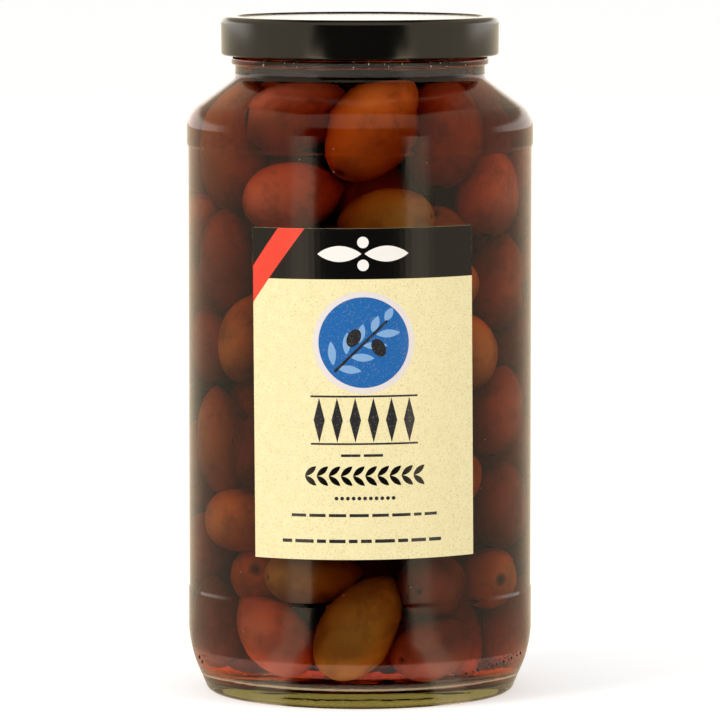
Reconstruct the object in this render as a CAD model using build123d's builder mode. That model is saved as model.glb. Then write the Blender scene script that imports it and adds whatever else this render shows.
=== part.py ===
from build123d import *
from math import cos, degrees, radians, sin, tan
import os

os.makedirs("parts", exist_ok=True)

# A quart jar of olives in brine: pressed glass jar, black twist cap, paper label.
# Millimetres. +Z is up, the origin is the centre of the ring the jar stands on,
# and the label faces -Y. Every height is measured up from the table.

# ---------------------------------------------------------------- glass, outside
body_r = 46.0              # label panel, between the two guard bands
upper_band_out = 0.4       # the guard bands stand this much out of the panel
lower_band_out = 0.18
lower_band_top = 27.6
upper_band_height = 8.3    # panel's upper edge to the shoulder's corner
band_step = 1.0            # height over which a band runs out into the panel

heel_height = 12.4         # where the heel's taper would meet the lower band
heel_in = 4.98             # how far the heel tapers in
heel_foot_z = 0.7
heel_blend = 27.0
ring_in = 1.5              # contact ring's outer edge, in from the foot of the heel
ring_width = 3.3
push_up = 3.2              # how far the underside rises in the middle

body_height = 155.7        # where the shoulder's cone would meet the upper band
shoulder_angle = 53.7      # cone of the shoulder, from the vertical
shoulder_blend = 10.0
neck_r = 33.45
neck_height = 3.5
neck_blend = 2.0
bead_out = 0.98            # transfer bead under the lid
bead_height = 1.9
finish_in = 0.45           # the finish inside the lid, in from the neck
finish_height = 9.1
rim_round = 0.8

# ---------------------------------------------------------------- glass, inside
wall = 2.6                 # body and shoulder
finish_wall = 2.25
floor_z = 5.4              # inner floor at its edge
floor_rise = 1.6           # the floor follows the push-up
inner_heel_blend = 12.0    # leaves the glass thick at the heel
inner_shoulder_blend = 8.0
inner_neck_blend = 4.0

# ---------------------------------------------------------------- lid and its hold
lug_count = 4              # thread ridges on the glass, and lugs of the lid under them
ridge_arc = 52.0           # degrees each ridge covers
ridge_out = 1.3            # how far a ridge stands out of the finish
ridge_rise = 2.6           # ridge's underside above the bead
ridge_height = 1.5
lug_arc = 15.0             # degrees each lug covers
lug_clearance = 0.4        # lug to finish
lug_under_ridge = 0.35     # lug to the ridge above it
lug_height = 0.9
lid_clearance = 2.15       # ridge to the inside of the skirt
lid_foot_clearance = 0.5   # foot of the lid to the bead
sheet = 0.5                # thickness of the lid's sheet
seal_thickness = 0.9       # sealing ring between the glass rim and the lid
seal_in = 0.5              # seal's inner edge, out from the bore
seal_margin = 0.3          # seal's outer edge, in from the panel's step
panel_in = 0.1             # edge of the lid's panel, in from the finish
panel_drop = 0.4           # the panel lies this much below the ring round it
panel_slope = 0.5          # width of the step between them
lid_corner_out = 0.27      # the rounded corner stands out of the skirt
lid_corner_round = 2.7
lid_corner_depth = 4.6     # top of the lid to the straight part of the skirt
curl_width = 1.6           # rolled edge at the foot of the skirt
curl_height = 1.7

# ---------------------------------------------------------------- label and contents
label_thickness = 0.18
label_arc = 61.8           # width of the paper, measured round the jar
label_offset = 1.1         # its middle lies this far round to the right
label_tilt = 0.5           # degrees, lower at the left edge
label_margin_bottom = 11.9  # paper's lower edge above the step of the lower band
label_margin_top = 18.8    # paper's upper edge below the step of the upper band
head_space = 7.7           # level of the brine below the rim
fill_gap = 0.06            # brine to glass, all round

# ---------------------------------------------------------------- values that follow
band_upper_r = body_r + upper_band_out
band_lower_r = body_r + lower_band_out
heel_foot_r = band_lower_r - heel_in
ring_outer_r = heel_foot_r - ring_in
ring_inner_r = ring_outer_r - ring_width
panel_top_z = body_height - upper_band_height
slope = tan(radians(shoulder_angle))          # radius lost per millimetre of height
neck_z = body_height + (band_upper_r - neck_r) / slope
bead_bottom_z = neck_z + neck_height
bead_top_z = bead_bottom_z + bead_height
finish_r = neck_r - finish_in
bore_r = finish_r - finish_wall
rim_z = bead_top_z + finish_height
ridge_bottom_z = bead_top_z + ridge_rise
panel_underside_z = rim_z + seal_thickness
lid_panel_z = panel_underside_z + sheet
lid_top_z = lid_panel_z + panel_drop
lid_bottom_z = bead_top_z + lid_foot_clearance
lid_panel_r = finish_r - panel_in
skirt_in_r = finish_r + ridge_out + lid_clearance
skirt_r = skirt_in_r + sheet
lid_corner_r = skirt_r + lid_corner_out
curl_in_r = skirt_r - curl_width
skirt_top_z = lid_top_z - lid_corner_depth
curl_top_z = lid_bottom_z + curl_height
lug_top_z = ridge_bottom_z - lug_under_ridge
label_bottom_z = lower_band_top + band_step + label_margin_bottom
label_height = panel_top_z - band_step - label_margin_top - label_bottom_z


def inside(gap, top):
    """Corners of the jar's inside as (radius, height, rounding), from the axis round to the axis."""
    cone_r = band_upper_r - wall * (1 + slope * slope) ** 0.5 - gap   # inner cone at the body's height
    body_in, bore_in = body_r - wall - gap, bore_r - gap
    floor_r = body_in - inner_heel_blend - 2
    low = floor_z + gap
    return [
        (0, low + floor_rise, 0),
        (floor_r * 0.5, low + floor_rise * 0.6, 40),
        (floor_r, low, 20),
        (body_in, low, inner_heel_blend),
        (body_in, body_height + (cone_r - body_in) / slope, inner_shoulder_blend),
        (bore_in, body_height + (cone_r - bore_in) / slope, inner_neck_blend),
        (bore_in, top, 0),
        (0, top, 0),
    ]


def outline(sketch, corners):
    """Draws a closed outline through (radius, height, rounding) corners and rounds each one."""
    Polygon(*[(r, z) for r, z, _ in corners], align=None)
    for r, z, rounding in corners:
        if rounding:
            fillet(sketch.vertices().filter_by(lambda v: abs(v.X - r) < 0.01 and abs(v.Y - z) < 0.01), rounding)


def upright(turn):
    """Upright plane through the jar's axis: x outwards at this many degrees from +X, y up."""
    x, y = cos(radians(turn)), sin(radians(turn))
    return Plane(origin=(0, 0, 0), x_dir=(x, y, 0), z_dir=(y, -x, 0))


# ---- glass jar: one revolved wall, then the thread ridges ----
with BuildPart() as glass_jar:
    with BuildSketch(Plane.XZ) as outer:
        outline(outer, [
            (0, push_up, 0), (ring_inner_r * 0.5, push_up * 0.8, 30), (ring_inner_r, 0, 2.4),
            (ring_outer_r, 0, 1.2), (heel_foot_r, heel_foot_z, 1.4), (band_lower_r, heel_height, heel_blend),
            (band_lower_r, lower_band_top, 1.5), (body_r, lower_band_top + band_step, 1.5),
            (body_r, panel_top_z - band_step, 1.5), (band_upper_r, panel_top_z, 1.5),
            (band_upper_r, body_height, shoulder_blend), (neck_r, neck_z, neck_blend),
            (neck_r, bead_bottom_z, 0.35), (neck_r + bead_out, bead_bottom_z, 0.6),
            (neck_r + bead_out, bead_top_z, 0.6), (finish_r, bead_top_z, 0.35),
            (finish_r, rim_z, rim_round), (0, rim_z, 0),
        ])
    revolve(axis=Axis.Z)
    with BuildSketch(Plane.XZ) as inner:
        outline(inner, inside(0, rim_z))
    revolve(axis=Axis.Z, mode=Mode.SUBTRACT)
    fillet(glass_jar.edges().filter_by(GeomType.CIRCLE).group_by(Axis.Z)[-1].sort_by(SortBy.RADIUS)[0], rim_round)
    for k in range(lug_count):
        turn = 360 * (k + 0.5) / lug_count
        with BuildSketch(upright(turn - ridge_arc / 2)) as ridge:
            outline(ridge, [
                (finish_r - 0.6, ridge_bottom_z, 0), (finish_r + ridge_out, ridge_bottom_z, 0),
                (finish_r + ridge_out, ridge_bottom_z + ridge_height * 0.45, 0.3),
                (finish_r - 0.6, ridge_bottom_z + ridge_height * 1.25, 0),
            ])
        revolve(axis=Axis.Z, revolution_arc=ridge_arc)
glass_jar.part.label = "glass_jar"
export_step(glass_jar.part, "parts/glass_jar.step")

# ---- lid: pressed sheet with a rounded corner, a rolled edge and four lugs ----
with BuildPart() as lid:
    with BuildSketch(Plane.XZ) as shell:
        outline(shell, [
            (0, lid_panel_z, 0), (lid_panel_r, lid_panel_z, 0.4), (lid_panel_r + panel_slope, lid_top_z, 0.4),
            (lid_corner_r, lid_top_z, lid_corner_round), (lid_corner_r, skirt_top_z + 1.2, 1.0),
            (skirt_r, skirt_top_z, 1.0), (skirt_r, lid_bottom_z, 0.75),
            (curl_in_r, lid_bottom_z, 0.75), (curl_in_r, curl_top_z, 0.45),
            (skirt_in_r, curl_top_z + 1.1, 0), (skirt_in_r, skirt_top_z, 0),
            (lid_corner_r - sheet, skirt_top_z + 1.2, 0),
            (lid_corner_r - sheet, lid_top_z - sheet, lid_corner_round - sheet),
            (lid_panel_r + panel_slope, lid_top_z - sheet, 0), (lid_panel_r, panel_underside_z, 0),
            (0, panel_underside_z, 0),
        ])
    revolve(axis=Axis.Z)
    for k in range(lug_count):
        turn = 360 * (k + 0.5) / lug_count
        with BuildSketch(upright(turn - lug_arc / 2)) as lug:
            outline(lug, [
                (finish_r + lug_clearance, lug_top_z - lug_height, 0.25), (curl_in_r + 0.4, lug_top_z - lug_height, 0),
                (curl_in_r + 0.4, lug_top_z, 0), (finish_r + lug_clearance, lug_top_z, 0.25),
            ])
        revolve(axis=Axis.Z, revolution_arc=lug_arc)
lid.part.label = "lid"
export_step(lid.part, "parts/lid.step")

# ---- sealing ring between the glass rim and the lid's panel ----
with BuildPart() as lid_seal:
    with BuildSketch(Plane.XY.offset(rim_z)):
        Circle(lid_panel_r - seal_margin)
        Circle(bore_r + seal_in, mode=Mode.SUBTRACT)
    extrude(amount=seal_thickness)
lid_seal.part.label = "lid_seal"
export_step(lid_seal.part, "parts/lid_seal.step")

# ---- paper label, wrapped on the panel and set slightly askew ----
with BuildPart() as label:
    with BuildSketch(Plane.XY.offset(label_bottom_z - 5)):
        Circle(body_r + label_thickness)
        Circle(body_r, mode=Mode.SUBTRACT)
    extrude(amount=label_height + 10)
    with BuildSketch(upright(degrees(label_offset / body_r))):
        with Locations((0, label_bottom_z + label_height / 2)):
            Rectangle(2 * (body_r + label_thickness) * sin(label_arc / 2 / body_r), label_height, rotation=label_tilt)
    extrude(amount=2 * body_r, mode=Mode.INTERSECT)
label.part.label = "label"
export_step(label.part, "parts/label.step")

# ---- olives and brine: the filled inside of the jar, up to the level of the brine ----
with BuildPart() as olives_in_brine:
    with BuildSketch(Plane.XZ) as fill:
        outline(fill, inside(fill_gap, rim_z - head_space))
    revolve(axis=Axis.Z)
olives_in_brine.part.label = "olives_in_brine"
export_step(olives_in_brine.part, "parts/olives_in_brine.step")

print("inside up to the brine, ml:", round(olives_in_brine.part.volume / 1000, 1))
print("glass, ml:", round(glass_jar.part.volume / 1000, 1), " lid, ml:", round(lid.part.volume / 1000, 2))
print("overall height:", round(lid_top_z, 2), " label height:", round(label_height, 2))
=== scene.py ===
# %% [markdown]
# # A jar of olives
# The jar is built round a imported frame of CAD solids, which says where everything is, in metres.
# This lesson replaces those plain solids with finished pieces: glass that bends light, a lacquered
# cap, a printed paper label, and whole olives sunk in dark brine.

# %% Load the frame
import bmesh
import bpy
import math
import random
import numpy as np
from mathutils import Matrix, Vector, noise


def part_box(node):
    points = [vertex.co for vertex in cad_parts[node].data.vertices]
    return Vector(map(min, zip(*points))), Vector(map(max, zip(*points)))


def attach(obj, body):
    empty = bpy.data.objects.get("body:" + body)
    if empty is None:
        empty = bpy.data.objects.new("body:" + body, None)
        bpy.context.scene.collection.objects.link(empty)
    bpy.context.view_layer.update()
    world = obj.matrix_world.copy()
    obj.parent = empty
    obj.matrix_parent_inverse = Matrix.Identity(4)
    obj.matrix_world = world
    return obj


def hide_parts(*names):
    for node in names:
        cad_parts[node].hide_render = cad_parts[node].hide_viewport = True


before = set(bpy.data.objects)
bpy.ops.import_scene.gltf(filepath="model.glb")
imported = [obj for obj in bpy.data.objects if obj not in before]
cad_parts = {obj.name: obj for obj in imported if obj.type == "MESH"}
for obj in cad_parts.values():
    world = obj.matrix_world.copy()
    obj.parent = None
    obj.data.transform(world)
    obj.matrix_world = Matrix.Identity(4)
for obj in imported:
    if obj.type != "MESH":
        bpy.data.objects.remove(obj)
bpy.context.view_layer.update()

# %% [markdown]
# The driving sizes are read from the boxes of the CAD nodes, so the pieces fit without any trial.
# What a box can't say, such as the thickness of the wall, is a named value in millimetres.

# %% Sizes of the jar
MM = 0.001


def box_mm(node):
    """Lowest and highest corner of a CAD node, in millimetres."""
    low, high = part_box(node)
    return low / MM, high / MM


glass_low, glass_high = box_mm("glass_jar")
lid_low, lid_high = box_mm("lid")
_, fill_high = box_mm("olives_in_brine")

band_r = (glass_high.x - glass_low.x) / 2    # guard band, the widest part of the glass
panel_depth, low_band_depth = 0.4, 0.22
body_r = band_r - panel_depth                # label panel between the bands
low_band_r = band_r - low_band_depth
rim_z = glass_high.z
lid_r = (lid_high.x - lid_low.x) / 2
lid_foot_z, lid_top_z = lid_low.z, lid_high.z
brine_z = fill_high.z
wall = 2.6
body_in = body_r - wall
floor_z, floor_rise = 5.4, 1.6               # the inner floor swells upwards in its middle
heel = 12.0                                  # inner rounding between wall and floor
shoulder_z = 155.7                           # the shoulder's cone meets the band here
slope = math.tan(math.radians(53.7))         # radius lost per millimetre of height on the cone
neck_r, finish_r, bore_r = 33.45, 33.0, 30.75
neck_z = shoulder_z + (band_r - neck_r) / slope
bead_z = lid_foot_z - 0.5                    # top of the bead under the cap
print("glass", round(band_r * 2, 2), "mm across,", round(rim_z, 2), "mm tall; brine up to", round(brine_z, 1))

# %% [markdown]
# Round things start as half an outline and are spun about the jar's axis. A corner is one vertex with
# a rounding: bevelling the vertex turns it into an arc, so the outline keeps only the points it needs.
# A short piece is split off each end of a long straight, which keeps its smooth shading flat.
# The spin leaves doubled vertices at the axis, and they are merged before the normals are made even.

# %% Spin an outline
LONG_STRAIGHT, END_PIECE = 1.6, 0.3          # straights longer than this get an end piece this long
MOST_OF_HALF = 0.48                          # a rounding takes no more of a straight than this share


def new_piece(name, bm, smooth=True):
    """Makes an object of a bmesh, whose points already say where the piece is."""
    mesh = bpy.data.meshes.new(name)
    bm.to_mesh(mesh)
    bm.free()
    mesh.polygons.foreach_set("use_smooth", [smooth] * len(mesh.polygons))
    piece = bpy.data.objects.new(name, mesh)
    bpy.context.collection.objects.link(piece)
    return piece


def spun(corners, steps=224, arc_parts=8):
    """Spins an outline of (radius, height, rounding) corners, in millimetres, into a closed bmesh."""
    bm = bmesh.new()
    points = [bm.verts.new((r * MM, 0, z * MM)) for r, z, _ in corners]
    for a, b in zip(points, points[1:]):
        bm.edges.new((a, b))
    if corners[0][0] > 0:
        bm.edges.new((points[-1], points[0]))
    for point, (r, z, rounding) in zip(points, corners):
        if rounding:
            one, two = [e.other_vert(point).co - point.co for e in point.link_edges]
            reach = rounding * MM * math.tan((math.pi - one.angle(two)) / 2)
            reach = min(reach, MOST_OF_HALF * one.length, MOST_OF_HALF * two.length)
            bmesh.ops.bevel(bm, geom=[point], offset=reach, offset_type="OFFSET", segments=arc_parts,
                            profile=0.5, affect="VERTICES", material=-1)
    for edge in [e for e in bm.edges if e.calc_length() > LONG_STRAIGHT * MM]:
        near_end = END_PIECE * MM / edge.calc_length()
        far_part, _ = bmesh.utils.edge_split(edge, edge.verts[0], near_end)
        bmesh.utils.edge_split(far_part, far_part.verts[1], near_end)
    bmesh.ops.spin(bm, geom=bm.verts[:] + bm.edges[:], cent=(0, 0, 0), axis=(0, 0, 1),
                   angle=math.tau, steps=steps, use_merge=True)
    bmesh.ops.remove_doubles(bm, verts=bm.verts, dist=1e-7)
    bmesh.ops.recalc_face_normals(bm, faces=bm.faces)
    return bm


# %% [markdown]
# A material here is a small sum. One class wraps a shader socket so that masks and colours are
# written as Python expressions, and every other node comes from a single method.

# %% Shader sums
WHITE, BLACK = (1, 1, 1, 1), (0, 0, 0, 1)


class Sum:
    """A value in a node tree that adds Math nodes as Python's operators are used on it."""

    def __init__(self, tree, socket):
        self.tree, self.socket = tree, socket

    def math(self, operation, *others):
        return node(self.tree, "ShaderNodeMath", {"operation": operation}, [self, *others])

    def __add__(self, other):
        return self.math("ADD", other)

    def __sub__(self, other):
        return self.math("SUBTRACT", other)

    def __rsub__(self, other):
        return node(self.tree, "ShaderNodeMath", {"operation": "SUBTRACT"}, [other, self])

    def __mul__(self, other):
        return self.math("MULTIPLY", other)

    def __truediv__(self, other):
        return self.math("DIVIDE", other)

    def __pow__(self, other):
        return self.math("POWER", other)

    __radd__, __rmul__ = __add__, __mul__

    def above(self, level, soft=0.02):
        """Goes from 0 to 1 as the value passes a level, over a soft width."""
        return node(self.tree, "ShaderNodeMapRange", {"interpolation_type": "SMOOTHSTEP"},
                    [self, level - soft, level + soft, 0.0, 1.0])


def node(tree, kind, settings=None, values=None, out=0):
    """Adds a node: its settings first, then its sockets' values or links, and gives its output."""
    made = tree.nodes.new(kind)
    for key, value in (settings or {}).items():
        setattr(made, key, value)
    pairs = values.items() if isinstance(values, dict) else enumerate(values or [])
    for key, value in pairs:
        if isinstance(value, Sum):
            tree.links.new(value.socket, made.inputs[key])
        elif value is not None:
            made.inputs[key].default_value = value
    return Sum(tree, made.outputs[out])


def mix_colour(tree, share, first, second, blend="MIX"):
    """Mixes two colours by a share. In colour mode the Mix node's sockets are 0, 6 and 7, its output 2."""
    return node(tree, "ShaderNodeMix", {"data_type": "RGBA", "blend_type": blend},
                {0: share, 6: first, 7: second}, out=2)


def colour(r, g, b):
    """A colour as it looks on a screen, 0 to 255, turned into the linear values that shaders use."""
    parts = [v / 255 for v in (r, g, b)]
    return tuple(v / 12.92 if v < 0.04045 else ((v + 0.055) / 1.055) ** 2.4 for v in parts) + (1,)


def new_material(name):
    """An empty material with its output node."""
    material = bpy.data.materials.new(name)
    material.use_nodes = True
    tree = material.node_tree
    tree.nodes.clear()
    return material, tree, tree.nodes.new("ShaderNodeOutputMaterial")


def finish_material(material, tree, output, surface, volume=None):
    """Links the last shader, and what fills the piece, to the material's output."""
    tree.links.new(surface.socket, output.inputs["Surface"])
    if volume:
        tree.links.new(volume.socket, output.inputs["Volume"])
    return material


def principled(name, base, roughness, settings=None, bump=None):
    """A material with one Principled shader. base, roughness and bump may be made from the tree."""
    material, tree, output = new_material(name)
    values = {"Base Color": base(tree) if callable(base) else base,
              "Roughness": roughness(tree) if callable(roughness) else roughness}
    if bump:
        height, strength, distance = bump(tree)
        values["Normal"] = node(tree, "ShaderNodeBump", {},
                                {"Strength": strength, "Distance": distance, "Height": height})
    values.update(settings or {})
    return finish_material(material, tree, output, node(tree, "ShaderNodeBsdfPrincipled", {}, values))


def place(tree):
    """Object coordinates, in metres."""
    return node(tree, "ShaderNodeTexCoord", {}, {}, out=3)


def grain(tree, scale, detail=3.0, roughness=0.5):
    """Noise over the piece, at so many grains a metre."""
    return node(tree, "ShaderNodeTexNoise", {},
                {"Vector": place(tree), "Scale": scale, "Detail": detail, "Roughness": roughness})


# %% [markdown]
# Glass that lets lamps through is a Glass shader mixed with a Transparent one, which takes over for
# rays that carry light to the olives. Where brine wets the inside of the wall there is almost no
# mirror image, so both surfaces there only bend the light: the brine reaches a little into the wall.
# Light that runs along inside the base meets its floor too flatly to leave, and is mirrored whole.

# %% Glass and brine
GLASS_IOR, BRINE_IOR = 1.5, 1.34
SHADOW_RAY, DIFFUSE_RAY = 1, 2               # outputs of the Light Path node


def lets_light_through(tree, bending):
    """Mixes a shader that bends light with a clear one for the rays that light what lies behind."""
    shadow = node(tree, "ShaderNodeLightPath", out=SHADOW_RAY)
    diffuse = node(tree, "ShaderNodeLightPath", out=DIFFUSE_RAY)
    clear = node(tree, "ShaderNodeBsdfTransparent")
    return node(tree, "ShaderNodeMixShader", {}, [shadow.math("MAXIMUM", diffuse), bending, clear])


def green_depth(tree):
    """Soda glass is a little yellow-green where light runs a long way through it, as in the base."""
    return node(tree, "ShaderNodeVolumeAbsorption", {}, {"Color": (0.68, 0.63, 0.28, 1), "Density": 50.0})


def waviness(tree):
    """Moulded glass is not quite even: faint upright ripples stir the edges of what it mirrors."""
    stretched = node(tree, "ShaderNodeVectorMath", {"operation": "MULTIPLY"}, [place(tree), (1, 1, 0.22)])
    ripple = node(tree, "ShaderNodeTexNoise", {}, {"Vector": stretched, "Scale": 420.0, "Detail": 2.0})
    return node(tree, "ShaderNodeBump", {}, {"Strength": 0.07, "Distance": 0.0005, "Height": ripple})


def glass_material():
    """Glass with air on its far side."""
    material, tree, output = new_material("clear_glass")
    bending = node(tree, "ShaderNodeBsdfGlass", {},
                   {"Color": WHITE, "Roughness": 0.0, "IOR": GLASS_IOR, "Normal": waviness(tree)})
    return finish_material(material, tree, output, lets_light_through(tree, bending), green_depth(tree))


def wet_glass_material():
    """Glass with brine on its far side."""
    material, tree, output = new_material("wet_glass")
    through = node(tree, "ShaderNodeBsdfRefraction", {}, {"Color": WHITE, "Roughness": 0.0, "IOR": GLASS_IOR})
    back = node(tree, "ShaderNodeBsdfAnisotropic", {}, {"Color": WHITE, "Roughness": 0.0})
    too_flat = node(tree, "ShaderNodeFresnel", {}, {"IOR": GLASS_IOR}).above(0.8, 0.1)
    bending = node(tree, "ShaderNodeMixShader", {}, [too_flat, through, back])
    return finish_material(material, tree, output, lets_light_through(tree, bending), green_depth(tree))


def brine_material():
    """Red-brown brine, which lets red light through furthest."""
    material, tree, output = new_material("dark_brine")
    bending = node(tree, "ShaderNodeBsdfRefraction", {}, {"Color": WHITE, "Roughness": 0.0, "IOR": BRINE_IOR})
    depth = node(tree, "ShaderNodeVolumeAbsorption", {}, {"Color": (0.93, 0.55, 0.08, 1), "Density": 100.0})
    return finish_material(material, tree, output, lets_light_through(tree, bending), depth)


# %% [markdown]
# The inside of the jar is used three times: for the glass, for the brine and to keep the olives in.
# One function gives its corners, moved in or out by a gap.

# %% Inside of the jar
def inside(gap, top):
    """Corners of the jar's inside, moved in by a gap, up to a height."""
    cone_r = band_r - wall * math.hypot(1, slope) - gap
    body, bore = body_in - gap, bore_r - gap
    return [(0, floor_z + gap + floor_rise, 0), (14.4, floor_z + gap + floor_rise * 0.6, 40),
            (28.8, floor_z + gap, 20), (body, floor_z + gap, heel),
            (body, shoulder_z + (cone_r - body) / slope, 8), (bore, shoulder_z + (cone_r - bore) / slope, 4),
            (bore, top, 0)]


def radius_inside(z):
    """Radius of the jar's inside at a height, in millimetres."""
    under = floor_z + heel - z               # how far this is below the top of the heel
    low = body_in if under < 0 else body_in - heel + math.sqrt(max(0, heel ** 2 - under ** 2))
    cone = band_r - wall * math.hypot(1, slope) - (z - shoulder_z) * slope
    return max(bore_r - 1, min(low, cone))


# %% [markdown]
# The outline of the glass runs up the outside, from the push-up under the base to the rim, and back
# down the inside. The threads stay with the CAD solid: the cap hides them from every side. Faces that
# touch brine get the second material.

# %% Glass jar
UNDER_FLOOR = 4.5                            # everything lower belongs to the underside of the base
glass_outline = [
    (0, 3.2, 0), (17.5, 2.56, 30), (36.4, 0, 2.4), (39.7, 0, 1.2), (low_band_r - 4.98, 0.7, 1.4),
    (low_band_r, 12.4, 27), (low_band_r, 27.6, 1.5), (body_r, 28.6, 1.5), (body_r, 146.4, 1.5),
    (band_r, 147.4, 1.5), (band_r, shoulder_z, 10), (neck_r, neck_z, 2), (neck_r, bead_z - 1.9, 0.35),
    (neck_r + 0.98, bead_z - 1.9, 0.6), (neck_r + 0.98, bead_z, 0.6), (finish_r, bead_z, 0.35),
    (finish_r, rim_z, 0.8), (bore_r, rim_z, 0.8),
]
glass_bm = spun(glass_outline + inside(0, rim_z)[-2::-1])
wet_faces = 0
for face in glass_bm.faces:
    middle = face.calc_center_median()
    towards_axis = face.normal.x * middle.x + face.normal.y * middle.y < -1e-9 or face.normal.z > 0.5
    r, z = math.hypot(middle.x, middle.y) / MM, middle.z / MM
    if towards_axis and UNDER_FLOOR < z < brine_z and r < radius_inside(z) + wall / 2:
        face.material_index = 1
        wet_faces += 1
glass = new_piece("jar_glass", glass_bm)
glass.data.materials.append(glass_material())
glass.data.materials.append(wet_glass_material())
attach(glass, "root")
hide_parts("glass_jar")
print("glass faces:", len(glass.data.polygons), "wet:", wet_faces)

# %% [markdown]
# The brine fills the inside up to its level. It reaches a little into the wall, so that light passes
# from glass to brine without meeting air.

# %% Brine
into_wall = 0.3
brine = new_piece("brine", spun(inside(-into_wall, brine_z) + [(0, brine_z, 0)]))
brine.data.materials.append(brine_material())
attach(brine, "root")
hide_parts("olives_in_brine")
print("brine faces:", len(brine.data.polygons))

# %% [markdown]
# The olives that show best are placed one by one: round the jar, up the jar, how far the long axis leans,
# and their length and width. The rest are strewn from a fixed seed. Then all of them settle: each olive
# is three balls in a row, and balls that overlap push each other apart, inside the wall of the jar.

# %% Place the olives
# degrees right of the front, height, lean to the right, turn inwards, length, width,
# depth behind the wall, kind
SHOWN = [
    (-75, 143, -4, 0, 31, 18, 0, "brown"), (-31, 154, 84, 38, 25, 16, 0, "red"),
    (-33, 137, 74, 40, 25, 18.5, 0, "red"), (19, 149, 50, 20, 30, 19, 0, "brown"),
    (15, 131, -94, -34, 24, 16.5, 1, "ochre"), (54, 149, 12, 10, 26, 18, 0, "maroon"),
    (73, 128, 14, 10, 23, 18, 0, "red"), (88, 151, 0, 0, 28, 17, 0, "maroon"),
    (-38, 158, 70, 30, 24, 15, 9, "brown"), (24, 159, 70, 30, 24, 15, 9, "brown"),
    (-73, 112, 3, 0, 27, 17, 0, "maroon"), (-54, 101, 14, 20, 24, 17, 3, "brown"),
    (-81, 91, -6, 0, 20, 17, 0, "maroon"), (-77, 73, -8, 0, 28, 17, 0, "brown"),
    (-60, 61, 6, 0, 21, 16, 0, "torn"), (-90, 54, 10, 0, 24, 16, 0, "brown"),
    (-57, 45, 82, 20, 25, 17, 0, "brown"), (-88, 40, 10, 0, 23, 17, 0, "maroon"),
    (70, 110, 8, 0, 26, 18, 0, "maroon"), (67, 91, -16, 0, 21, 18, 0, "brown"),
    (69, 73, 10, 0, 24, 18, 0, "maroon"), (55, 60, 76, 24, 24, 16, 0, "brown"),
    (71, 47, -8, 0, 23, 18, 0, "maroon"), (-62, 32, -104, -44, 24, 17, 0, "brown"),
    (-22, 31.5, 88, 40, 25, 16, 0, "ochre"), (-80, 17, 12, 0, 24, 17, 0, "maroon"),
    (-34, 15.5, -44, 10, 24, 17, 0, "red"), (2, 23, 36, 6, 30, 18.5, 0, "ochre"),
    (40, 30, 86, 30, 25, 17, 0, "maroon"), (31, 14.5, 82, 24, 26, 16, 0, "maroon"),
    (80, 31, 94, 40, 24, 16, 0, "brown"), (80, 15, 20, 0, 24, 17, 0, "maroon"),
]
STREWN = 92
BACK = (75, 285)                             # degrees round the jar that its front view can't show
FRONT_R = 22                                 # strewn olives stay this near the axis elsewhere
rng = np.random.default_rng(21)


def along_wall(degrees, lean, inwards=0):
    """Outward direction at so many degrees to the right of the front, and an olive's long axis there."""
    turn, tilt, dip = math.radians(degrees), math.radians(lean), math.radians(inwards)
    out = np.array([math.sin(turn), -math.cos(turn), 0.0])
    across = np.array([math.cos(turn), math.sin(turn), 0.0]) * math.cos(dip) - out * math.sin(dip)
    return out, across * math.sin(tilt) + np.array([0, 0, 1.0]) * math.cos(tilt)


centres, axes, longs, widths, kinds = [], [], [], [], []
for degrees, z, lean, inwards, long, wide, depth, kind in SHOWN:
    out, axis = along_wall(degrees, lean, inwards)
    centres.append(out * (radius_inside(z + 4) - wide / 2 - 0.4 - depth) + np.array([0, 0, z]))
    axes.append(axis), longs.append(long), widths.append(wide), kinds.append(kind)
for i in range(STREWN):
    z = rng.uniform(14, 152)
    r = math.sqrt(rng.uniform(0.10, 1)) * (radius_inside(z) - 10)
    turn = rng.uniform(*BACK) if i % 3 else rng.uniform(-180, 180)
    r = r if BACK[0] < turn < BACK[1] else min(r, FRONT_R)
    centres.append(along_wall(turn, 0)[0] * r + np.array([0, 0, z]))
    axes.append(rng.normal(size=3) * np.array([1, 1, 1.3]))
    longs.append(rng.uniform(23, 29)), widths.append(rng.uniform(16, 19))
    kinds.append(rng.choice(["maroon", "brown", "red", "ochre"], p=[0.5, 0.3, 0.14, 0.06]))
centres, axes = np.array(centres), np.array(axes)
axes /= np.linalg.norm(axes, axis=1)[:, None]
longs, widths = np.array(longs), np.array(widths)
held = np.where(np.arange(len(centres)) < len(SHOWN), 0.12, 1.0)    # shown olives hardly move
stiff = np.where(held < 1, 0.02, 1.0)                               # and hardly turn

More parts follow.
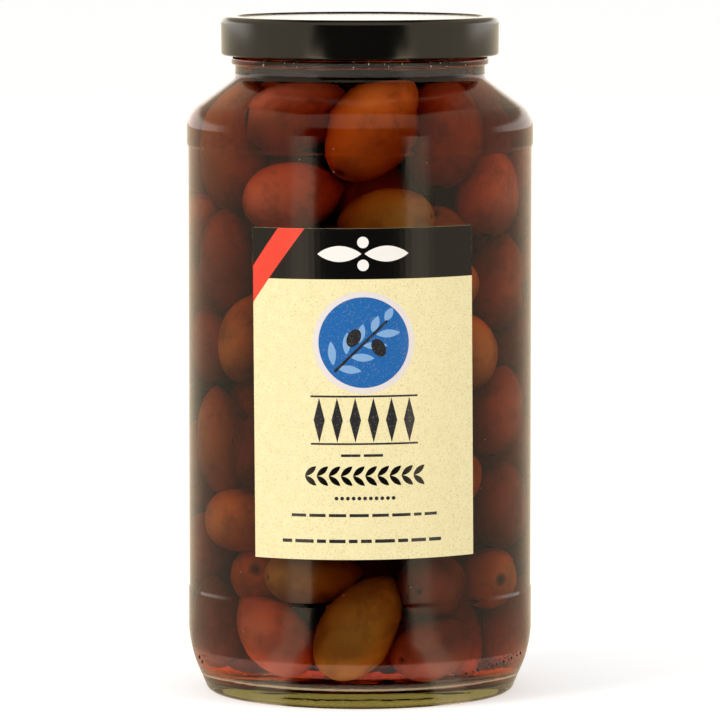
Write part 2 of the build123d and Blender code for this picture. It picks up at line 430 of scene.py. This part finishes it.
ball_at = np.array([-0.52, 0.0, 0.52])
ball_r = np.outer(widths / 2, [0.8, 1.0, 0.8])
lever = ball_at[None, :, None] * longs[:, None, None] / 2
heap_z = brine_z - 7                         # the heap stops a little under the brine's level
wall_gap, floor_gap = 0.9, 0.4
GIVE = 0.35                                  # share of an overlap that one step undoes
wall_z = np.arange(0, 181)
wall_r = np.array([radius_inside(z) for z in wall_z])
for step in range(400):
    if step % 20 == 0:
        near = np.linalg.norm(centres[:, None] - centres[None], axis=2) < longs.max() + 2
        one, two = np.nonzero(np.triu(near, 1))
    balls = centres[:, None, :] + axes[:, None, :] * lever
    push = np.zeros_like(balls)
    worst = 0
    for a in range(3):
        for b in range(3):
            apart = balls[one, a] - balls[two, b]
            distance = np.linalg.norm(apart, axis=1) + 1e-9
            overlap = np.clip(ball_r[one, a] + ball_r[two, b] - distance, 0, None)
            worst = max(worst, overlap.max())
            shove = apart / distance[:, None] * overlap[:, None] * GIVE
            np.add.at(push[:, a], one, shove)
            np.add.at(push[:, b], two, -shove)
    level = np.hypot(balls[:, :, 0], balls[:, :, 1]) + 1e-9
    room = np.interp(balls[:, :, 2] + ball_r * 0.65, wall_z, wall_r)
    over = np.clip(level + ball_r + wall_gap - room, 0, None)
    shift = np.zeros_like(balls)
    shift[:, :, :2] -= balls[:, :, :2] / level[:, :, None] * over[:, :, None]
    shift[:, :, 2] += np.clip(floor_z + floor_rise + floor_gap + ball_r - balls[:, :, 2], 0, None)
    shift[:, :, 2] -= np.clip(balls[:, :, 2] + ball_r - heap_z, 0, None)
    centres += push.mean(1) * held[:, None] + shift.mean(1)
    axes += ((push + shift) * lever).sum(1) / (0.5 * longs[:, None] ** 2) * stiff[:, None]
    axes /= np.linalg.norm(axes, axis=1)[:, None]
print("olives:", len(centres), " deepest overlap left, mm:", round(float(worst), 2))

# %% [markdown]
# An olive is a round ball drawn out to an egg shape, a little fuller at the stem end, with a small nipple
# at the tip and a sunken scar where the stem was. Slow noise makes no two alike. Its colour
# and the scar are stored on its points, so one skin material serves every kind. The colour also holds
# painted light: olives higher in the jar are made lighter, as if lit from above.

# %% Shape one olive
TONES = {"maroon": (198, 92, 72), "brown": (236, 132, 72), "red": (230, 112, 92), "ochre": (208, 140, 66),
         "torn": (150, 56, 40)}
PIECES = {"maroon": "olives_maroon", "brown": "olives_brown", "red": "olives_red", "ochre": "olives_ochre",
          "torn": "olive_torn"}
SUNK_IOR = 1.1                               # under brine a skin mirrors far less than in air
ball = bmesh.new()
bmesh.ops.create_uvsphere(ball, u_segments=36, v_segments=24, radius=1.0)
ball.verts.layers.float_color.new("tone")
scratch = bpy.data.meshes.new("one_olive")


def add_olive(joined, centre, axis, long, wide, kind, seed):
    """Adds one olive to a bmesh, its tone with painted light by height and its scar stored on its points."""
    bm = ball.copy()
    layer = bm.verts.layers.float_color["tone"]
    draw = random.Random(seed)
    r, g, b, _ = colour(*TONES[kind])
    # Painted light: the second factor makes olives higher in the jar lighter, as if lit from above; the first
    # is each olive's own tone.
    shade, warm = draw.uniform(0.78, 1.15) * (0.78 + centre[2] / 450), draw.uniform(0.92, 1.1)
    shift = Vector([draw.uniform(-50, 50) for _ in range(3)])
    uneven = 0.2 if kind == "torn" else 0.04
    point = draw.uniform(0.03, 0.09)
    scar_r = draw.uniform(0.11, 0.17)
    turned = Vector(axis).to_track_quat("Z", "X").to_matrix() @ Matrix.Rotation(draw.uniform(0, 6.28), 3, "Z")
    for vert in bm.verts:
        x, y, z = vert.co
        ring = math.hypot(x, y)
        slow, fine = noise.noise(vert.co * 1.6 + shift), noise.noise(vert.co * 5 + shift)
        girth = (1 - 0.08 * z) * wide / 2 * (1 + uneven * slow + uneven * 0.4 * fine)
        tip = point * max(0, (z - 0.9) / 0.1) ** 2
        scar = max(0.0, 1 - (ring / scar_r) ** 2) if z < 0 else 0.0
        shape = Vector((x * girth, y * girth, (z + tip + 0.09 * scar) * long / 2))
        vert.co = (turned @ shape + Vector(centre)) * MM
        patch = 1 + 0.35 * noise.noise(vert.co / MM * 0.11 + shift)
        vert[layer] = (r * shade * warm * patch, g * shade * patch ** 1.4, b * shade / warm * patch,
                       min(1, scar * 2))
    bm.to_mesh(scratch)
    joined.from_mesh(scratch)
    bm.free()


def skin_base(tree):
    """Tone of each olive, mottled, with pale specks and a dark scar."""
    tone = node(tree, "ShaderNodeAttribute", {"attribute_name": "tone"})
    scar = node(tree, "ShaderNodeAttribute", {"attribute_name": "tone"}, {}, out=3)
    mottle = grain(tree, 130, 4, 0.6)
    dark = mix_colour(tree, mottle.above(0.56, 0.14) * 0.5, tone, (0.35, 0.25, 0.25, 1), "MULTIPLY")
    pale = mix_colour(tree, grain(tree, 60, 2).above(0.6, 0.1) * 0.35, dark, (1.5, 1.35, 1.1, 1), "MULTIPLY")
    specks = mix_colour(tree, grain(tree, 1500, 2).above(0.69, 0.03) * 0.22, pale, (0.5, 0.34, 0.2, 1))
    return mix_colour(tree, scar * 0.92, specks, (0.02, 0.012, 0.006, 1))


def skin_bump(tree):
    """Faint wrinkles, with finer ones over them."""
    return grain(tree, 500, 3) * 0.3 + grain(tree, 160, 2) * 0.7, 0.2, 0.0006


skin = principled("olive_skin", skin_base, lambda tree: 0.3 + grain(tree, 300) * 0.2,
                  {"IOR": SUNK_IOR, "Subsurface Weight": 0.12, "Subsurface Radius": (0.6, 0.25, 0.1),
                   "Subsurface Scale": 0.002}, skin_bump)
for kind, name in PIECES.items():
    bm = bmesh.new()
    for i in np.flatnonzero(np.array(kinds) == kind):
        add_olive(bm, centres[i], axes[i], longs[i], widths[i], kind, int(i) + 3)
    piece = new_piece(name, bm)
    piece.data.materials.append(skin)
    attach(piece, "root")
    print(name, "triangles:", len(piece.data.polygons) * 2)

# %% [markdown]
# Deep between the olives the dark brine lies in shade and looks black. A plain near-black core, painted
# shade, fills the middle, so that no light comes through the jar there, and viewers that can't look
# through brine still see a filled jar.

# %% Dark core
core_outline = [(0, 16, 0), (15, 16, 6), (15, 146, 6), (22, 156, 6), (22, 168, 2), (0, 168, 0)]
# Painted shade: this near-black solid stands in for the olives deep in the middle, in shade under dark brine.
core = new_piece("painted_shade_core", spun(core_outline, steps=64))
core.data.materials.append(principled("painted_shade_black", (0.012, 0.003, 0.002, 1), 0.6, {"IOR": SUNK_IOR}))
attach(core, "root")
print("core faces:", len(core.data.polygons))

# %% [markdown]
# The cap is pressed sheet with a glossy black lacquer. Its outline is spun like the glass, with the
# rounded corner, the ring round the panel, the rolled foot and the hollow inside.

# %% Cap
sheet, skirt_r = 0.5, lid_r - 0.1
curl_r = skirt_r - 1.6                       # the foot is rolled inwards this far
panel_z, panel_r = lid_top_z - 0.4, finish_r - 0.1
LACQUER_IOR = 1.75
cap_outline = [
    (0, panel_z, 0), (panel_r, panel_z, 0.4), (panel_r + 0.5, lid_top_z, 0.4), (lid_r, lid_top_z, 2.7),
    (skirt_r, lid_foot_z, 0.75), (curl_r, lid_foot_z, 0.75),
    (curl_r, lid_foot_z + 1.7, 0.45), (skirt_r - sheet, lid_foot_z + 2.8, 0),
    (lid_r - sheet, lid_top_z - sheet, 2.2), (panel_r + 0.5, lid_top_z - sheet, 0),
    (panel_r, panel_z - sheet, 0), (0, panel_z - sheet, 0),
]
cap = new_piece("cap", spun(cap_outline, steps=256))
cap.data.materials.append(principled(
    "black_lacquer", (0.003, 0.0028, 0.0022, 1), lambda tree: 0.1 + grain(tree, 700, 3) * 0.06,
    {"IOR": LACQUER_IOR}, lambda tree: (grain(tree, 1400, 2), 0.02, 0.0001)))
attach(cap, "root")
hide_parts("lid")
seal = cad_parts["lid_seal"]
seal.data.materials.clear()
seal.data.materials.append(principled("seal_compound", lambda tree: mix_colour(
    tree, grain(tree, 900), (0.66, 0.63, 0.56, 1), (0.75, 0.73, 0.66, 1)), 0.5))
print("cap across, mm:", round(lid_r * 2, 2))

# %% [markdown]
# The label is laid out flat, in millimetres from its middle, and then wrapped round the glass. Each
# printed shape is a thin sheet cut into narrow strips, so that it bends smoothly, and given a thickness.

# %% Wrap flat shapes on the glass
label_low, label_high = box_mm("label")
label_half_w = 61.8 / 2
label_half_h = 87.1 / 2
label_middle_z = (label_low.z + label_high.z) / 2
label_turn = 1.1                             # its middle lies this far round to the right
label_tilt = math.radians(0.5)
paper_thick = 0.18
STRIP = 1.6                                  # width of the strips that shapes are cut into


def flat_shape(bm, outline):
    """Adds a flat closed outline of (across, up) points to a bmesh."""
    return bm.faces.new([bm.verts.new((x, 0, y)) for x, y in outline])


def wrap(name, bm, lift, thick, material):
    """Cuts a flat bmesh into strips, wraps it on the label panel and gives it a thickness."""
    reach = math.ceil(label_half_w / STRIP)
    for i in range(-reach, reach + 1):
        bmesh.ops.bisect_plane(bm, geom=bm.verts[:] + bm.edges[:] + bm.faces[:], dist=1e-6,
                               plane_co=(i * STRIP, 0, 0), plane_no=(1, 0, 0))
    for vert in bm.verts:
        x = vert.co.x * math.cos(label_tilt) - vert.co.z * math.sin(label_tilt) + label_turn
        z = vert.co.x * math.sin(label_tilt) + vert.co.z * math.cos(label_tilt) + label_middle_z
        turn, r = x / body_r, body_r + lift
        vert.co = Vector((r * math.sin(turn), -r * math.cos(turn), z)) * MM
    bm.normal_update()
    for face in bm.faces:
        if face.normal.dot(Vector((face.calc_center_median().x, face.calc_center_median().y, 0))) < 0:
            face.normal_flip()
    bmesh.ops.solidify(bm, geom=bm.faces[:], thickness=thick * MM)
    bmesh.ops.recalc_face_normals(bm, faces=bm.faces)
    piece = new_piece(name, bm, smooth=False)
    piece.data.materials.append(material)
    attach(piece, "root")
    return piece


def rectangle(low_x, high_x, low_y, high_y):
    """Corners of an upright rectangle."""
    return [(low_x, low_y), (high_x, low_y), (high_x, high_y), (low_x, high_y)]


def moved(ring, x, y, turn):
    """Turns an outline anticlockwise by so many degrees and moves it to x, y."""
    c, s = math.cos(math.radians(turn)), math.sin(math.radians(turn))
    return [(x + u * c - v * s, y + u * s + v * c) for u, v in ring]


def ellipse(x, y, half_w, half_h, turn=0.0, points=40):
    """An ellipse round x, y."""
    angles = np.linspace(0, math.tau, points, endpoint=False)
    return moved([(half_w * math.cos(a), half_h * math.sin(a)) for a in angles], x, y, turn)


def leaf(x, y, long, wide, turn, points=12):
    """A pointed leaf from its foot at x, y."""
    edge = [(long * t, wide / 2 * math.sin(math.pi * t) ** 0.8) for t in np.linspace(0, 1, points)]
    return moved(edge + [(u, -v) for u, v in edge[-2:0:-1]], x, y, turn)


def printed(name, shapes, lift, ink, thick=0.03):
    """Wraps a set of printed shapes as one piece."""
    bm = bmesh.new()
    for outline in shapes:
        flat_shape(bm, outline)
    return wrap(name, bm, paper_thick + lift, thick, ink)


# %% [markdown]
# Coated paper is nearly smooth, with a soft sheen. Its cream carries a fine darker speckle, which is
# noise pushed through a narrow step. The inks share that sheen and differ in colour.

# %% Paper and inks
def cream(tree):
    """Cream with broad paler clouds and a fine darker speckle."""
    fine = grain(tree, 2600, 2, 0.7).above(0.6, 0.05)
    broad = grain(tree, 420, 3, 0.6).above(0.55, 0.2)
    base = mix_colour(tree, broad * 0.5, colour(238, 224, 174), colour(228, 212, 156))
    return mix_colour(tree, fine * 0.55, base, colour(190, 168, 116))


def ink(name, tone, speckle=0.12):
    """An ink through which a little of the paper's speckle shows."""
    def base(tree):
        return mix_colour(tree, grain(tree, 2200, 2).above(0.62, 0.05) * speckle, tone, colour(206, 190, 150))

    return principled(name, base, lambda tree: 0.16 + grain(tree, 800) * 0.06, {"IOR": 1.55})


paper_stock = principled("cream_paper", cream, lambda tree: 0.3 + grain(tree, 900) * 0.1, {"IOR": 1.5},
                         lambda tree: (grain(tree, 1800, 3), 0.08, 0.0003))
black_ink = ink("black_ink", colour(12, 11, 10), 0.0)
charcoal_ink = ink("charcoal_ink", colour(44, 42, 44), 0.1)
red_ink = ink("red_ink", colour(226, 62, 44), 0.05)
pale_ink = ink("pale_ink", colour(236, 230, 222), 0.0)
lilac_ink = ink("lilac_ink", colour(224, 214, 210), 0.1)
blue_ink = ink("blue_ink", colour(30, 98, 165), 0.12)
sky_ink = ink("sky_ink", colour(126, 166, 208), 0.12)

# %% [markdown]
# The paper goes on first, then the black band across its top with a red stripe over its corner. Each
# layer lies a few hundredths of a millimetre above the one under it, as ink does.

# %% Label
top, bottom, side = label_half_h, -label_half_h, label_half_w
edge = 0.02                                  # ink stops this far inside the paper's edge


def up(z):
    """Height on the label's own scale, from its middle, of a height above the table."""
    return z - label_middle_z


bm = bmesh.new()
flat_shape(bm, rectangle(-side, side, bottom, top))
paper = wrap("label_paper", bm, paper_thick, paper_thick - 0.01, paper_stock)
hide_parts("label")
band_z = up(114.3)
printed("label_band", [rectangle(-side + edge, side - edge, band_z, top - edge)], 0.02, black_ink)
printed("label_stripe", [[(-side + edge, top - 10.2), (-side + edge, top - 19.7), (-side + 15.5, top - edge),
                          (-side + 7.9, top - edge)]], 0.05, red_ink)
band_middle = (band_z + top) / 2
ornament = [leaf(-0.4, band_middle, 11.6, 4.2, 180), leaf(0.4, band_middle, 11.6, 4.2, 0),
            ellipse(0, band_middle + 3.0, 1.5, 1.5), ellipse(0, band_middle - 3.0, 1.5, 1.5)]
printed("label_ornament", ornament, 0.05, pale_ink)
print("paper", round(2 * side, 1), "by", round(2 * top, 1), "mm")

# %% [markdown]
# The middle of the label carries a round medallion with an olive sprig, a row of lozenges and a leaf
# border: common ornament in the label's own colours. Small bars stand where fine print would be.

# %% Ornament
medal_z, medal_r = up(97.7), 13.4
printed("medal_ring", [ellipse(0, medal_z, medal_r, medal_r, points=72)], 0.02, lilac_ink)
printed("medal_field", [ellipse(0, medal_z, medal_r - 1.5, medal_r - 1.5, points=72)], 0.05, blue_ink)
sprig = [leaf(-8 + 3.4 * i, medal_z - 6 + 2.9 * i, 6.4 - 0.6 * i, 2.1, 96 - 9 * i) for i in range(5)]
sprig += [leaf(-7 + 3.4 * i, medal_z - 6.6 + 2.9 * i, 6.4, 2.1, -8 + 4 * i) for i in range(4)]
printed("medal_leaves", sprig, 0.08, sky_ink)
stem = [(-8, medal_z - 7.4), (-7.4, medal_z - 7.8), (6.4, medal_z + 5.5), (6.0, medal_z + 5.9)]
fruit = [ellipse(-2.6, medal_z + 1.2, 1.7, 2.5, -30), ellipse(3.9, medal_z - 1.4, 1.7, 2.5, 30)]
printed("medal_fruit", [stem], 0.1, charcoal_ink)
printed("medal_olives", fruit, 0.12, charcoal_ink)
row_low, row_high = up(71.4), up(83.2)
row_middle, row_half = (row_low + row_high) / 2, (row_high - row_low) / 2
lozenges = []
for i in range(6):
    x = -11.9 + 4.76 * i
    lozenges.append([(x - 1.5, row_middle), (x, row_low), (x + 1.5, row_middle), (x, row_high)])
lozenges += [rectangle(-14.2, 14.2, row_high + 0.1, row_high + 0.6),
             rectangle(-14.2, 14.2, row_low - 0.6, row_low - 0.1)]
printed("label_lozenges", lozenges, 0.02, charcoal_ink)
garland_z = up(62.6)
garland = []
for i in range(-5, 5):
    x = 3.2 * i + 1.6
    garland += [leaf(x - 1.5, garland_z, 4.0, 1.5, 40), leaf(x - 1.5, garland_z, 4.0, 1.5, -40)]
printed("label_garland", garland, 0.02, black_ink)


def bars(z, half_width, height, seed):
    """A row of small bars of uneven length, like a line of fine print."""
    draw = random.Random(seed)
    made, x = [], -half_width
    while x < half_width - 1.2:
        long = min(draw.uniform(2.0, 5.2), half_width - x)
        made.append(rectangle(x, x + long, up(z) - height / 2, up(z) + height / 2))
        x += long + 0.9
    return made


dots = [ellipse(1.5 * i, up(56.7), 0.5, 0.5, points=16) for i in range(-5, 6)]
fine_print = bars(68.0, 6.2, 0.7, 2) + dots + bars(52.2, 19.7, 0.8, 5) + bars(45.4, 22.4, 0.9, 8)
printed("label_fine_print", fine_print, 0.02, charcoal_ink)
print("shapes printed:", len(sprig) + len(fruit) + len(lozenges) + len(garland) + len(fine_print))

# %% [markdown]
# Small things tell real glass from a model of it: fine knurling where the jar stands, a run of little
# mould dots low on the heel, and a few air bubbles caught under the bead. Each is a loop of tiny shapes.

# %% Small marks
def scattered(name, spots, material):
    """Joins small balls, given as (degrees, radius, height, size, flatness), into one piece."""
    bm = bmesh.new()
    for degrees, r, z, size, flat in spots:
        out = along_wall(degrees, 0)[0]
        facing = Vector(out).to_track_quat("Z", "Y").to_matrix().to_4x4()
        where = Matrix.Translation((Vector(out) * r + Vector((0, 0, z))) * MM) @ facing
        shape = Matrix.Diagonal((size * MM, size * MM, size * flat * MM, 1))
        bmesh.ops.create_icosphere(bm, subdivisions=2, radius=1.0, matrix=where @ shape)
    piece = new_piece(name, bm)
    piece.data.materials.append(material)
    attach(piece, "root")
    return piece


def heel_radius(z):
    """Outer radius of the heel at a height under 12 mm, in millimetres."""
    return low_band_r - 5.2 * (1 - z / 13.5) ** 1.9


# Painted shade: the mould dots are glass bumps, but are drawn as solid near-black specks.
pit_painted_shade = principled("pit_painted_shade", (0.02, 0.008, 0.006, 1), 0.4)
pits = [(34 + 3.1 * i + (1.2 if i % 3 else 0), heel_radius(8.6 + 0.28 * i) - 0.12, 8.6 + 0.28 * i,
         0.34 + 0.1 * (i % 2), 0.45) for i in range(12)]
pits += [(-70, heel_radius(10.5) - 0.12, 10.5, 0.6, 0.4), (-68, heel_radius(9.4) - 0.12, 9.4, 0.5, 0.4)]
scattered("mould_dots", pits, pit_painted_shade)
# Painted highlights: the bubbles are solid pale balls that stand in for the light that clear air bubbles
# catch.
bubble_highlight = principled("bubble_painted_highlight", (0.95, 0.9, 0.85, 1), 0.08, {"IOR": GLASS_IOR})
draw = random.Random(4)
bubbles = [(draw.uniform(-60, 60), bore_r - 0.55, draw.uniform(168.6, 170.6), draw.uniform(0.1, 0.24), 1.0)
           for _ in range(26)]
bubbles += [(draw.uniform(-50, 50), body_in - 0.45, draw.uniform(12, 150), draw.uniform(0.12, 0.22), 1.0)
            for _ in range(14)]
scattered("air_bubbles", bubbles, bubble_highlight)
KNURLS = 150
knurls = [(360 / KNURLS * i, 39.9, 0.36, 0.34, 1.6) for i in range(KNURLS)]
scattered("knurling", knurls, glass.data.materials[0])
print("small marks:", len(pits), "dots,", len(bubbles), "bubbles,", len(knurls), "knurls")

# %% [markdown]
# A light tent lights the jar: white all round, darker towards the camera, so that the black cap and
# the dark jar keep their depth. The world does most of it, and two tall soft boxes stand at the sides.

# %% Floor, world, lamps
WARM = (1, 0.85, 0.61, 1)
BRIGHTEST = 2.0                              # levels run from black to this, through a colour mix
FLOOR_HALF = 12                              # metres
TABLE_R = 3.8                                # the floor nearer than this is what the jar itself mirrors
CAMERA_RAY, GLOSSY_RAY, REFLECTED_RAY, BENT_RAY = 0, 3, 5, 6    # more outputs of the Light Path node


def frontness(x, y):
    """1 straight in front of the jar, 0 at its sides, -1 behind it."""
    return y * -1 / ((x * x + y * y) ** 0.5 + 1e-5)


def mirrored_level(dark):
    """How bright the tent looks when mirrored: dark in front, middling all round."""
    return 0.004 + (1 - dark) * 0.56


def parts_of(tree, vector):
    """The x, y and z of a vector."""
    return [node(tree, "ShaderNodeSeparateXYZ", {}, [vector], out=i) for i in range(3)]


def ray(tree, kind):
    """1 for rays of one kind, 0 for the rest."""
    return node(tree, "ShaderNodeLightPath", out=kind)


bm = bmesh.new()
bmesh.ops.create_grid(bm, x_segments=1, y_segments=1, size=FLOOR_HALF)
floor = new_piece("floor", bm, smooth=False)
material, tree, output = new_material("floor_white")
x, y, _ = parts_of(tree, place(tree))
near = 1 - ((x * x + y * y) ** 0.5).above(TABLE_R, 0.4)
front = frontness(x, y)
streak = front.above(0.70, 0.05) * (1 - front.above(0.86, 0.02)) * near
behind = (front * -1).above(0.75, 0.2)
seen = mirrored_level((front - near * 0.12).above(0.75, 0.04)) + streak * 0.7 + behind * 0.4
matt = node(tree, "ShaderNodeBsdfDiffuse", {}, {"Color": (0.84, 0.84, 0.83, 1)})
lift = ray(tree, CAMERA_RAY) * 0.32 + ray(tree, BENT_RAY) * (1 - ray(tree, DIFFUSE_RAY)) * 0.12
glow = node(tree, "ShaderNodeEmission", {}, {"Color": mix_colour(tree, lift, BLACK, WHITE), "Strength": 1.0})
lit = node(tree, "ShaderNodeAddShader", {}, [matt, glow])
mirrored = node(tree, "ShaderNodeEmission", {},
                {"Color": mix_colour(tree, seen / BRIGHTEST, BLACK, WARM), "Strength": BRIGHTEST})
is_mirrored = ray(tree, GLOSSY_RAY) * ray(tree, REFLECTED_RAY)
floor.data.materials.append(finish_material(
    material, tree, output, node(tree, "ShaderNodeMixShader", {}, [is_mirrored, lit, mirrored])))

world = bpy.data.worlds.new("light_tent")
bpy.context.scene.world = world
world.use_nodes = True
tree = world.node_tree
tree.nodes.clear()
output = tree.nodes.new("ShaderNodeOutputWorld")
x, y, z = parts_of(tree, node(tree, "ShaderNodeTexCoord"))
front = frontness(x, y).above(0.78, 0.05) * (1 - z.above(0.5, 0.06))
open_top = z.above(0.66, 0.04) * y.above(-0.06, 0.05) * (1 - x.math("ABSOLUTE").above(0.42, 0.06))
shade = front.math("MAXIMUM", open_top)
backdrop = y.above(0.25, 0.2) * (1 - z.above(0.24, 0.06))
is_seen, is_mirrored = ray(tree, CAMERA_RAY), ray(tree, GLOSSY_RAY) * ray(tree, REFLECTED_RAY)
reflected = mirrored_level(shade) + backdrop * 1.1
level = is_seen * 1.02 + (1 - is_seen) * ((1 - is_mirrored) * 0.8 + is_mirrored * reflected)
tint = mix_colour(tree, is_mirrored * (1 - backdrop * 0.6), WHITE, WARM)
surface = node(tree, "ShaderNodeBackground", {},
               {"Color": mix_colour(tree, level / BRIGHTEST, BLACK, tint), "Strength": BRIGHTEST})
tree.links.new(surface.socket, output.inputs["Surface"])


def soft_box(name, degrees, distance, width, height, middle_z, watts):
    """A tall area lamp at so many degrees to the right of the front, facing the jar."""
    lamp = bpy.data.lights.new(name, "AREA")
    lamp.shape, lamp.size, lamp.size_y, lamp.energy = "RECTANGLE", width, height, watts
    lamp.color = (1, 0.98, 0.95)
    stand = bpy.data.objects.new(name, lamp)
    bpy.context.collection.objects.link(stand)
    turn = math.radians(degrees)
    stand.location = (distance * math.sin(turn), -distance * math.cos(turn), middle_z)
    stand.rotation_euler = (Vector((0, 0, 0.09)) - stand.location).to_track_quat("-Z", "Y").to_euler()
    stand.visible_glossy = False
    return stand


for name, degrees, watts in [("soft_box_left", -55, 16.0), ("soft_box_right", 60, 6.6)]:
    soft_box(name, degrees, distance=1.5, width=0.8, height=1.2, middle_z=0.9, watts=watts)

# %% [markdown]
# The camera stands in front of the jar, well back and a little above its middle, and looks slightly
# down. Colours stay as the materials give them.

# %% Camera
camera = bpy.data.cameras.new("camera")
camera.lens, camera.sensor_width = 302.2, 36
camera_stand = bpy.data.objects.new("camera", camera)
bpy.context.collection.objects.link(camera_stand)
camera_stand.location = (0, -1.62, 0.236)
camera_stand.rotation_euler = (math.radians(90 - 5.1866), 0, 0)
camera.clip_start, camera.clip_end = 0.05, 60
bpy.context.scene.camera = camera_stand
bpy.context.scene.view_settings.view_transform = "Standard"
print("camera at", tuple(round(v, 3) for v in camera_stand.location), "lens", round(camera.lens, 1), "mm")
